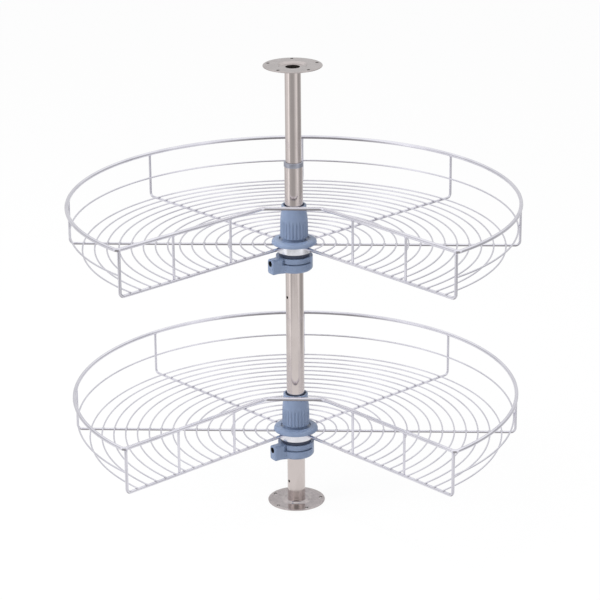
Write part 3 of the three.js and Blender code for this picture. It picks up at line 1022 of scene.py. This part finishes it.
@dataclass
class Basket(OnTier):
    """One tier's welded wire basket, three quarters of a circle with a V-shaped notch."""

    rim_radius: float = 352.0
    rim_wire: float = 3.0
    rim_height: float = 73.0
    rim_bend: float = 6.0
    apex_distance: float = 45.7
    apex_bend: float = 16.0
    spokes: int = 7
    spoke_wire: float = 2.0
    spoke_bend: float = 7.0
    spoke_start: float = 26.85
    edge_wire: float = 2.5
    edge_inset: float = 3.5
    under_rim: float = 69.85
    ring_wire: float = 1.25
    ring_count: int = 16
    outer_ring: float = 330.0
    ring_spacing: float = 18.9
    ring_height: float = 2.95
    ring_overhang: float = 2.0
    mid_wire: float = 1.4
    mid_radius: float = 348.45
    mid_height: float = 32.8
    mid_shortening: float = 0.15
    rod_wire: float = 2.0
    rod_places: Span = (131.55, 244.95)
    rod_bottom: float = 2.15
    crossing_height: float = 1.75
    crossing_bead: Axes = (2.4, 2.4, 0.9)
    head_lift: float = 0.3
    head_bead: Axes = (2.8, 2.8, 1.1)
    mid_bead: Axes = (1.3, 1.3, 1.5)

    @property
    def azimuths(self) -> np.ndarray:
        """The spokes' azimuths, the notch's two edge spokes first and last."""
        return np.linspace(Hand.RIGHT.value, Hand.LEFT.value, self.spokes)

    def head_weld(self, place: np.ndarray) -> np.ndarray:
        """The weld bead that joins an upright's head, at this place, to the rim above it."""
        return beads(self.raised(place + UP * self.head_lift)[None, :], self.head_bead)[0]

    def spoke(self, azimuth: float) -> list[np.ndarray]:
        """A floor spoke and its upright: straight out, round a bend and up.

        Args:
            azimuth: The spoke's azimuth.

        Returns:
            The wire's grid, and that of the weld bead on its head.
        """
        edge = azimuth in (Hand.RIGHT.value, Hand.LEFT.value)
        wire_radius = self.edge_wire if edge else self.spoke_wire
        upright = self.rim_radius - (self.edge_inset if edge else 0.0)
        axis = self.spoke_wire - wire_radius
        ray = polar(azimuth, 1.0)
        knee = polar(azimuth, upright - self.spoke_bend, axis)
        rise, head = (polar(azimuth, upright, z) for z in (axis + self.spoke_bend, self.under_rim))
        path = run_on(
            straight(polar(azimuth, self.spoke_start, axis), knee, steps=4),
            arc(knee + UP * self.spoke_bend, self.spoke_bend, ray, UP, -90.0, 0.0, steps=14),
            straight(rise, head, steps=3),
        )
        grid = wire(self.raised(path), np.cross(ray, UP), wire_radius, sides=18)
        return [grid, self.head_weld(head)]

    def level_arc(self, radius: float, height: float, past: float, steps: int) -> np.ndarray:
        """A level arc between the edge spokes.

        Args:
            radius: Its radius.
            height: Its height above the spokes.
            past: How far it runs past the edge spokes.
            steps: Number of gaps between its points.

        Returns:
            The points, one a row.
        """
        more = math.degrees(past / radius)
        start, end = Hand.RIGHT.value - more, Hand.LEFT.value + more
        return polar(np.linspace(start, end, steps + 1), radius, self.tier.value + height)

    def floor(self) -> None:
        """The floor rings on their spokes, with a small weld bead at every crossing."""
        shell = Shell()
        radii = self.outer_ring - self.ring_spacing * np.arange(self.ring_count)
        for azimuth in self.azimuths:
            for grid in self.spoke(float(azimuth)):
                shell.add(grid)
        for radius in radii:
            steps = int(40 + radius * 0.42)
            path = self.level_arc(radius, self.ring_height, self.ring_overhang, steps)
            shell.add(wire(path, UP, self.ring_wire, sides=12))
        height = self.tier.value + self.crossing_height
        crossings = polar(self.azimuths[:, None], radii[None, :], height).reshape(-1, 3)
        wire_points = shell.count
        for bead in beads(crossings, self.crossing_bead):
            shell.add(bead)
        mesh = shell.mesh()
        # painted shade on the undersides of the wires and all over the weld beads
        mark_undersides(mesh, self.tier.value + 1.0, above=0.4, weld_points=shell.count - wire_points)
        self.piece("basket_floor", "wires", mesh, Finish.WIRE, "basket")

    def rim_path(self) -> np.ndarray:
        """The endless rim's centre line: the long arc, the notch's two sides and the short flat.

        A corner bend's centre is one bend radius inside both the arc and the side's line, and the
        apex bends' centres are one bend radius in front of the flat. Straight runs join the bends.

        Returns:
            The points, one a row.
        """
        x, y = polar(0.0, 1.0), polar(90.0, 1.0)
        height, bend = self.rim_height, self.rim_bend
        reach = math.sqrt((self.rim_radius - bend) ** 2 - bend**2)
        slip = math.degrees(math.atan2(bend, reach))
        right, left = Hand.RIGHT.value, Hand.LEFT.value
        apex_x = self.apex_distance - self.apex_bend * math.tan(math.radians(22.5))
        apex_y = -self.apex_distance - self.apex_bend
        turns = [
            (polar(left, reach, height, -bend), bend, left - slip, 315.0),
            (np.array([-apex_x, apex_y, height]), self.apex_bend, 135.0, 90.0),
            (np.array([apex_x, apex_y, height]), self.apex_bend, 90.0, 45.0),
            (polar(right, reach, height, bend), bend, -135.0, right + slip),
        ]
        bends = [arc(centre, radius, x, y, start, end, steps=12) for centre, radius, start, end in turns]
        runs = [arc(UP * height, self.rim_radius, x, y, right + slip, left - slip, steps=300), bends[0]]
        for before, after, steps in zip(bends, bends[1:], (8, 4, 8)):
            runs += [straight(before[-1], after[0], steps), after]
        return self.raised(run_on(*runs)[:-1])

    def rim(self) -> None:
        """The endless rim wire."""
        grid = wire(self.rim_path(), UP, self.rim_wire, sides=20, endless=True)
        mesh = Shell().add(grid, ring=True).mesh()
        # painted shade on the rim wire's underside
        mark_undersides(mesh)
        self.piece("basket_rim", "wire", mesh, Finish.WIRE, "basket")

    def middle(self) -> None:
        """The thin wire round the inside of the uprights, with a bead at each inner upright."""
        short = self.edge_wire + self.mid_shortening
        path = self.level_arc(self.mid_radius, self.mid_height, past=-short, steps=240)
        shell = Shell().add(wire(path, UP, self.mid_wire, sides=14))
        touching = polar(self.azimuths[1:-1], self.mid_radius + self.mid_wire, self.mid_height)
        for bead in beads(self.raised(touching), self.mid_bead):
            shell.add(bead)
        mesh = shell.mesh()
        # painted shade on the downward faces of the wire and its beads
        mark_undersides(mesh)
        self.piece("basket_mid_wire", "ring", mesh, Finish.WIRE, "basket")

    def rods(self) -> None:
        """The four short uprights between the notch's edge spokes and the rim."""
        for hand in Hand:
            for word, place in zip(("inner", "outer"), self.rod_places):
                foot, head = (polar(hand.value, place, z) for z in (self.rod_bottom, self.under_rim))
                path = self.raised(straight(foot, head, steps=3))
                shell = Shell().add(wire(path, polar(hand.value, 1.0), self.rod_wire, sides=16))
                shell.add(self.head_weld(head))
                self.piece(f"rod_{hand.label}_{word}", "wire", shell.mesh(), Finish.WIRE, "basket")

    def build(self) -> None:
        """Makes the basket's pieces."""
        self.floor()
        self.rim()
        self.middle()
        self.rods()


@dataclass
class Hub(OnTier):
    """The moulded hub in a basket's centre, with the steel sleeve that its spigot fills."""

    sleeve_radius: float = 26.7
    sleeve_bore: float = 25.1
    sleeve_top: float = 2.6
    sleeve_bottom: float = -10.2
    flange_radius: float = 35.5
    flange_bottom: float = 2.8
    flange_top: float = 8.4
    lip_radius: float = 24.0
    lip_top: float = 10.6
    crevice_radius: float = 18.4
    crevice_bottom: float = 8.6
    barrel_radius: float = 22.0
    barrel_bottom: float = 13.9
    barrel_top: float = 43.3
    neck_radius: float = 19.6
    neck_bottom: float = 55.3
    top: float = 65.7
    bore: float = 16.6
    spigot_radius: float = 24.9
    spigot_wall: float = 3.0
    flutes: int = 24
    flute_depth: float = 1.55
    flute_start: Span = (-0.1, 0.6)
    flute_end: Span = (-7.0, 1.0)
    rib_inner: float = 14.6
    rib_root: float = 17.4
    rib_width: float = 2.6
    rib_drop: float = 1.0
    rib_bevel: Span = (0.4, 0.35)
    ribs: int = 6
    sides: int = 288
    longest_stretch: float = 1.6

    def profile(self) -> np.ndarray:
        """The hub's closed section: spigot, domed flange, shadow gap, barrel, neck and bore.

        Each row below holds a corner's radius and height, and how far its rounding reaches.

        Returns:
            The section's points, one a row.
        """
        sharp = np.array([
            (self.spigot_radius - self.spigot_wall, self.sleeve_bottom, 0.3),
            (self.spigot_radius, self.sleeve_bottom, 0.5),
            (self.spigot_radius, self.flange_bottom, 0.1),
            (self.flange_radius - 0.3, self.flange_bottom, 1.6),
            (self.flange_radius, self.flange_bottom + 2.4, 1.4),
            (self.flange_radius - 1.2, self.flange_top, 2.8),
            (0.5 * (self.flange_radius + self.lip_radius), self.flange_top + 1.7, 3.0),
            (self.lip_radius, self.lip_top, 0.5),
            (self.lip_radius - 0.7, self.crevice_bottom, 0.3),
            (self.crevice_radius, self.crevice_bottom, 0.3),
            (self.crevice_radius, self.barrel_bottom, 0.2),
            (self.barrel_radius, self.barrel_bottom, 0.5),
            (self.barrel_radius - 0.2, 0.5 * (self.barrel_bottom + self.barrel_top), 6.0),
            (self.barrel_radius - 0.5, self.barrel_top, 4.0),
            (self.neck_radius + 0.3, self.neck_bottom, 4.0),
            (self.neck_radius, self.top, 1.3),
            (self.bore, self.top, 0.5),
            (self.bore, self.flange_bottom, 0.5),
            (self.spigot_radius - self.spigot_wall, -self.flange_bottom, 0.5),
        ])
        return softened(sharp[:, :2], sharp[:, 2], steps=6)

    def fluted(self, grid: np.ndarray) -> np.ndarray:
        """The grid with flutes pressed into its barrel.

        A point on the barrel's wall moves inwards by depth * m(z) * ((1 + cos(n a)) / 2)^2, where
        n is the number of flutes and m grows from 0 to 1 above the shadow gap and fades back to 0
        as the flutes run out upwards.

        Args:
            grid: The plain hub's points.

        Returns:
            The fluted hub's points.
        """
        radius = np.hypot(grid[..., 0], grid[..., 1])
        azimuth = np.arctan2(grid[..., 1], grid[..., 0])
        height = grid[..., 2]
        on_wall = (radius > self.crevice_radius + 0.3) & (radius < self.barrel_radius + 0.1)
        above_gap = smooth_step(*(self.barrel_bottom + lift for lift in self.flute_start), height)
        fade = 1.0 - smooth_step(*(self.barrel_top + lift for lift in self.flute_end), height)
        scallop = ((1.0 + np.cos(self.flutes * azimuth)) / 2.0) ** 2
        depth = np.where(on_wall, self.flute_depth * above_gap * fade * scallop, 0.0)
        factor = (radius - depth) / radius
        return np.concatenate([grid[..., :2] * factor[..., None], grid[..., 2:]], axis=-1)

    def dense(self, profile: np.ndarray) -> np.ndarray:
        """The profile with its long straight stretches divided, for the flutes to bend.

        Args:
            profile: The section's points.

        Returns:
            The points, one a row.
        """
        after = np.roll(profile, -1, axis=0)
        gaps = np.linalg.norm(after - profile, axis=1)
        counts = np.maximum(1, np.ceil(gaps / self.longest_stretch)).astype(int)
        return np.vstack([straight(a, b, count)[:-1] for a, b, count in zip(profile, after, counts)])

    def moulding(self) -> None:
        """The hub, with the ribs in its bore."""
        shell = self.shell(self.fluted(turned(self.dense(self.profile()), self.sides)), ring=True)
        top = self.top - self.rib_drop
        middle = (top + self.flange_bottom) / 2.0
        half_width, half_height = self.rib_width / 2.0, (top - self.flange_bottom) / 2.0
        section = softened(rectangle(-half_width, half_width, -half_height, half_height), cut=0.3)
        depth, inset = self.rib_bevel
        stations = [(self.rib_root, 0.0), (self.rib_inner + depth, 0.0), (self.rib_inner, inset)]
        for azimuth in np.arange(self.ribs) * 360.0 / self.ribs:
            shell.add(self.raised(bar(section, azimuth, stations, middle)))
        self.piece("hub", "moulding", shell.mesh(), Finish.PLASTIC, "basket", crease=40.0)

    def sleeve(self) -> None:
        """The steel ring that the floor spokes are welded to."""
        wall = rectangle(self.sleeve_bore, self.sleeve_radius, self.sleeve_bottom, self.sleeve_top)
        ring = self.shell(turned(softened(wall, cut=0.5, steps=5), sides=128), ring=True)
        self.piece("sleeve", "ring", ring.mesh(), Finish.SLEEVE, "basket")

    def build(self) -> None:
        """Makes the hub and its sleeve."""
        self.moulding()
        self.sleeve()


# ---- clamp


@dataclass
class Clamp(OnTier):
    """The collar that grips the post under a basket, its set screw and the bearing ring on it."""

    bore: float = 14.45
    radius: float = 29.0
    top: float = -16.9
    bottom: float = -40.1
    chamfer: float = 3.0
    window_depth: float = 2.5
    window_height: float = 9.7
    window_from: float = -126.0
    window_to: float = -22.0
    window_fade: float = 8.0
    groove_depth: float = 2.4
    groove_width: float = 1.3
    lug_reach: float = 45.4
    lug_width: float = 17.0
    lug_height: float = 24.0
    lug_top: float = -17.1
    lug_root: float = 22.0
    lug_neck: float = 34.5
    lug_root_width: float = 26.0
    lug_corner: float = 4.0
    lug_rounding: float = 3.0
    screw_radius: float = 3.8
    screw_hole: float = 4.1
    screw_chamfer: float = 0.8
    screw_outer: float = 37.45
    screw_tip: float = 14.45
    screw_point: float = 1.8
    thread_pitch: float = 1.25
    thread_depth: float = 0.3
    socket_radius: float = 2.3
    socket_depth: float = 4.5
    bearing_inner: float = 14.65
    bearing_radius: float = 24.2
    bearing_top: float = -10.4
    bearing_bottom: float = -16.7

    def collar(self) -> np.ndarray:
        """The plain collar, its outer wall bevelled below.

        Returns:
            The grid of points.
        """
        corners = [
            (self.bore, self.bottom),
            (self.radius - self.chamfer, self.bottom),
            (self.radius, self.bottom + self.chamfer),
            (self.radius, self.top),
            (self.bore, self.top),
        ]
        return turned(softened(corners, cut=[0.3, 1.5, 1.5, 0.7, 0.4], steps=5), sides=144)

    def window(self) -> np.ndarray:
        """The window as the tool that cuts it, its section carried from azimuth to azimuth.

        The section stands on the sill, and its inner side is the radius less the window's depth,
        with a deeper groove along the sill and down the first end. Both depths are scaled by
        1 - s, where s is the smooth step over the last degrees, in which the window fades out.

        Returns:
            The grid of points.
        """
        sill = self.top - self.window_height
        groove_turn = math.degrees(self.groove_width / self.radius)
        first = self.window_from + groove_turn * np.array([0.0, 1.0, 1.15])
        fading = self.window_to - self.window_fade
        middle = np.linspace(self.window_from + 2.0 * groove_turn, fading, 30)
        azimuths = np.concatenate([first, middle, np.linspace(fading + 1.0, self.window_to, 8)])
        fade = 1.0 - smooth_step(fading, self.window_to, azimuths)
        skin, beyond = 0.2, 8.0
        face, outer = self.radius + skin, np.full(len(azimuths), self.radius + beyond)
        wall = face - (self.window_depth + skin) * fade
        groove = wall - self.groove_depth * fade
        wall = np.where(azimuths < self.window_from + 1.1 * groove_turn, groove, wall)
        above, over = sill + self.groove_width, self.top + 1.0
        radii = np.stack([outer, groove, groove, wall, wall, outer], axis=-1)
        heights = np.array([sill, sill, above, above + 0.15, over, over])
        return polar(azimuths[:, None], radii, heights[None, :])

    def lug(self) -> np.ndarray:
        """The lug: a rounded bar, flared into the collar and softly rounded at its outer end.

        Its section at a distance is the rounded rectangle scaled to a half width of
        w + f (1 - s) - i and a half height of h - i, where s is the smooth step from the root to
        the neck, f the root's extra half width and i the inset of the end's quarter circle.

        Returns:
            The grid of points.
        """
        half_width, half_height = self.lug_width / 2.0, self.lug_height / 2.0
        sharp = rectangle(-half_width, half_width, -half_height, half_height)
        section = softened(sharp, self.lug_corner, steps=6)
        turn = np.radians(np.linspace(0.0, 90.0, 7))
        tip = self.lug_reach - self.lug_rounding * (1.0 - np.sin(turn))
        distance = np.concatenate([np.linspace(self.lug_root, self.lug_neck, 9), tip])
        inset = np.concatenate([np.zeros(9), self.lug_rounding * (1.0 - np.cos(turn))])
        extra = (self.lug_root_width - self.lug_width) / 2.0
        flare = extra * (1.0 - smooth_step(self.lug_root, self.lug_neck, distance))
        lateral = section[:, 0] * ((half_width + flare - inset) / half_width)[:, None]
        upward = section[:, 1] * ((half_height - inset) / half_height)[:, None]
        return polar(SCREW_AZIMUTH, distance[:, None], self.lug_top - half_height + upward, lateral)

    def in_hole(self, mesh: Mesh) -> np.ndarray:
        """Which faces line the screw's hole.

        They lie on the lug's side of the post, less than the mouth's radius from the hole's axis,
        and don't look along it.

        Args:
            mesh: The collar, in metres.

        Returns:
            True or False for each face.
        """
        middles, outward, _ = face_facts(mesh)
        x, y, z = middles.T
        turn = math.radians(SCREW_AZIMUTH)
        ahead, aside = x * math.cos(turn) + y * math.sin(turn), y * math.cos(turn) - x * math.sin(turn)
        off_axis = np.hypot(aside, z - self.tier.value - SCREW_HEIGHT)
        near = off_axis < self.screw_hole + self.screw_chamfer
        return (ahead > self.bore + 0.5) & near & (np.abs(outward) < 0.8)

    def collar_piece(self) -> None:
        """The collar joined to its lug, with the screw's hole through both."""
        mouth, slope, past = self.lug_reach, self.screw_chamfer, 0.4
        stations = [(self.bore - 4.0, 0.0), (mouth - slope, 0.0), (mouth + past, -slope - past)]
        hole = bar(circle(self.screw_hole, sides=48), SCREW_AZIMUTH, stations, SCREW_HEIGHT)
        changes = [
            (Carving.JOIN, self.shell(self.lug())),
            (Carving.CUT, self.shell(self.window())),
            (Carving.CUT, self.shell(hole)),
        ]
        mesh = combined(self.shell(self.collar(), ring=True), changes)
        # painted shade on the screw hole's wall
        mark_hollow_shade(mesh, self.in_hole(mesh))
        self.piece("clamp", "moulding", mesh, Finish.PLASTIC, "clamp_collar")

    def screw(self) -> None:
        """The set screw: a threaded shank with a hexagon socket in its outer end.

        The shank's radius is r - d (1 - |sin(pi x / pitch)|), x being the distance along it and d
        the thread's depth.
        """
        along = np.linspace(self.screw_tip + 1.6, self.screw_outer - 0.5, 90)
        wave = np.abs(np.sin(np.pi * (along - self.screw_tip) / self.thread_pitch))
        thread = self.screw_radius - self.thread_depth * (1.0 - wave)
        tip, point = self.screw_tip, self.screw_point
        ends = [(tip, point - 0.2), (tip + 0.2, point), (tip + 1.5, point)]
        crown = [(self.screw_outer, self.screw_radius - 0.5)]
        path = np.vstack([ends, np.column_stack([along, thread]), crown])
        stations = [(distance, 1.0 - radius) for distance, radius in path]
        shank = bar(circle(1.0, sides=36), SCREW_AZIMUTH, stations, SCREW_HEIGHT)
        hexagon = softened(circle(self.socket_radius, sides=6), cut=0.12, steps=2)
        depths = [(self.screw_outer - self.socket_depth, 0.0), (self.screw_outer + 2.0, 0.0)]
        socket = bar(hexagon, SCREW_AZIMUTH, depths, SCREW_HEIGHT)
        mesh = combined(self.shell(shank), [(Carving.CUT, self.shell(socket))])
        self.piece("clamp_screw", "steel", mesh, Finish.SCREW, "set_screw")

    def bearing(self) -> None:
        """The bearing ring, its outer edges rounded over."""
        wall = rectangle(self.bearing_inner, self.bearing_radius, self.bearing_bottom, self.bearing_top)
        profile = softened(wall, cut=[0.3, 1.0, 1.0, 0.3], steps=5)
        disc = self.shell(turned(profile, sides=128), ring=True)
        self.piece("bearing_ring", "disc", disc.mesh(), Finish.BEARING, "clamp_collar")

    def build(self) -> None:
        """Makes the clamp's three pieces."""
        self.collar_piece()
        self.screw()
        self.bearing()


# ---- studio


@dataclass
class Studio:
    """The white floor, the screens and soft light round the object, and the camera."""

    floor_reach: float = 14.0
    distance: float = 3.5415
    eye_height: float = 1.630
    pitch: float = 19.947
    roll: float = -0.483
    yaw: float = 0.134
    side_step: float = 2.45
    lens: float = 143.292
    sensor: float = 36.0
    farthest: float = 100.0
    white: Colour = (0.86, 0.86, 0.87)
    floor_glow: float = 0.93
    paper_front: Span = (-1.65, -1.2)
    paper_sides: Span = (-0.8, -0.45)
    paper_light: float = 0.85
    fill: float = 0.72
    raised_from: Span = (0.06, 0.14)
    overhead_from: Span = (0.34, 0.62)
    overhead: float = 1.0
    brightest: float = 1.35
    screens: Pairs = (
        (-180.0, 0.72), (-120.0, 0.7), (-95.0, 0.9), (-77.0, 0.85), (-65.0, 1.35), (-53.0, 0.85),
        (-45.0, 0.55), (-20.0, 0.45), (10.0, 0.45), (30.0, 0.7), (50.0, 1.0), (70.0, 0.55),
        (90.0, 0.38), (120.0, 0.5), (150.0, 0.68), (180.0, 0.72),
    )
    raised_screens: Pairs = (
        (-180.0, 0.72), (-145.0, 0.72), (-120.0, 0.5), (-90.0, 0.5), (-70.0, 0.95), (-42.0, 0.95),
        (-26.0, 0.35), (24.0, 0.35), (40.0, 0.95), (64.0, 0.95), (84.0, 0.5), (120.0, 0.5),
        (145.0, 0.72), (180.0, 0.72),
    )
    aim_height: float = 0.35

    def camera(self) -> None:
        """The camera at the photograph's place: looking down at the pitch, turned by the side step.

        With w the view direction, its right is w x z and its up is right x w, and both are turned
        about w by the roll.
        """
        turn, pitch, roll = (math.radians(angle) for angle in (self.side_step, self.pitch, self.roll))
        heading = math.radians(self.yaw) - turn
        level = math.cos(pitch)
        ahead = Vector((math.sin(heading) * level, math.cos(heading) * level, -math.sin(pitch)))
        flat = ahead.cross(Vector((0, 0, 1))).normalized()
        upright = flat.cross(ahead)
        right = math.cos(roll) * flat + math.sin(roll) * upright
        above = math.cos(roll) * upright - math.sin(roll) * flat
        place = Vector((self.distance * math.sin(turn), -self.distance * math.cos(turn), self.eye_height))
        data = bpy.data.cameras.new("camera")
        data.sensor_width, data.lens, data.clip_end = self.sensor, self.lens, self.farthest
        camera = placed("camera", data)
        facing = Matrix((right, above, -ahead)).transposed().to_4x4()
        camera.matrix_world = Matrix.Translation(place) @ facing
        bpy.context.scene.camera = camera

    def floor(self) -> None:
        """A white floor that keeps a faint shadow.

        Metal sees it as a sheet of white paper under the object, whose soft front edge and sides
        give way to the studio's screens.
        """
        graph = Graph(bpy.data.materials.new("white_floor"))
        x, y, _ = graph.along_axes(graph.place())
        sideways = 0.0 - x.maths("ABSOLUTE", x)
        paper = y.between(*self.paper_front) * sideways.between(*self.paper_sides)
        matt = graph.node("ShaderNodeBsdfDiffuse", None, {"Color": (*self.white, 1.0)}).outputs[0]
        clear = graph.node("ShaderNodeBsdfTransparent").outputs[0]
        plain = graph.mixed(graph.seen() * self.floor_glow, matt, graph.light(1.0))
        sheet = graph.mixed(paper, clear, graph.light(self.paper_light))
        graph.end_in(graph.mixed(graph.ray("Glossy"), plain, sheet))
        reach = self.floor_reach
        corners = [(x, y, 0.0) for x, y in rectangle(-reach, reach, -reach, reach)]
        mesh = bpy.data.meshes.new("floor")
        mesh.from_pydata(corners, [], [(0, 1, 2, 3)])
        mesh.materials.append(graph.holder)
        floor = placed("floor", mesh)

    def ring(self, graph: Graph, share: Value, screens: Pairs) -> Value:
        """The level of a ring of screens at a share of the way round it.

        Args:
            graph: The world's graph.
            share: From 0 behind the object, through 0.5 at the camera, to 1 behind it.
            screens: Pairs of azimuth from the camera's own and level there.

        Returns:
            The level.
        """
        stops = [((angle + 180.0) / 360.0, level / self.brightest) for angle, level in screens]
        ramp = graph.node("ShaderNodeValToRGB", {"stops": stops}, {0: share})
        return Value(graph, ramp.outputs[0]) * self.brightest

    def world(self) -> None:
        """White to the camera, rings of light and dark screens for metal, and plain fill light.

        The screens' level follows the azimuth from the camera's own, a(x, y) = atan2(x, -y). The
        raised screens stand above the level of the object and an even light is above them.
        """
        world = bpy.data.worlds.new("studio")
        bpy.context.scene.world = world
        graph = Graph(world)
        x, y, z = graph.along_axes(graph.node("ShaderNodeTexCoord").outputs["Generated"])
        azimuth = x.maths("ARCTAN2", x, 0.0 - y)
        share = azimuth * (0.5 / math.pi) + (0.5 - self.side_step / 360.0)
        raised, above = z.between(*self.raised_from), z.between(*self.overhead_from)
        ring = self.ring(graph, share, self.screens) * (1.0 - raised)
        ring = ring + self.ring(graph, share, self.raised_screens) * raised
        level = ring * (1.0 - above) + self.overhead * above
        metal = graph.mixed(graph.ray("Glossy"), graph.light(self.fill), graph.light(level))
        graph.end_in(graph.mixed(graph.seen(), metal, graph.light(1.0)))

    def lamp(self, name: str, place: Axes, size: float, power: float) -> None:
        """A square softbox that faces the object's middle, and that metal doesn't mirror.

        Args:
            name: The lamp's name.
            place: Where it stands, in metres.
            size: The length of its side.
            power: Its power in watts.
        """
        data = bpy.data.lights.new(name, "AREA")
        data.shape, data.size, data.energy = "SQUARE", size, power
        lamp = placed(name, data)
        aim = Vector((0.0, 0.0, self.aim_height)) - Vector(place)
        lamp.matrix_world = Matrix.Translation(place) @ aim.to_track_quat("-Z", "Y").to_matrix().to_4x4()
        lamp.visible_glossy = False

    def build(self) -> None:
        """Makes the camera, floor, world and lamps, with the plain view transform."""
        bpy.context.scene.view_settings.view_transform = "Standard"
        self.camera()
        self.floor()
        self.world()
        self.lamp("left_softbox", (-2.6, -1.2, 2.2), size=1.8, power=75.0)
        self.lamp("right_softbox", (2.2, -2.0, 1.9), size=1.4, power=12.0)
        self.lamp("top_softbox", (-0.15, -0.15, 2.6), size=0.5, power=18.0)


def main() -> None:
    """Builds the carousel and its studio."""
    logging.basicConfig(level=logging.INFO, format="%(name)s: %(message)s")
    Studio().build()
    Post().build()
    for tier in Tier:
        Basket(tier).build()
        Hub(tier).build()
        Clamp(tier).build()


if __name__ == "__main__":
    main()
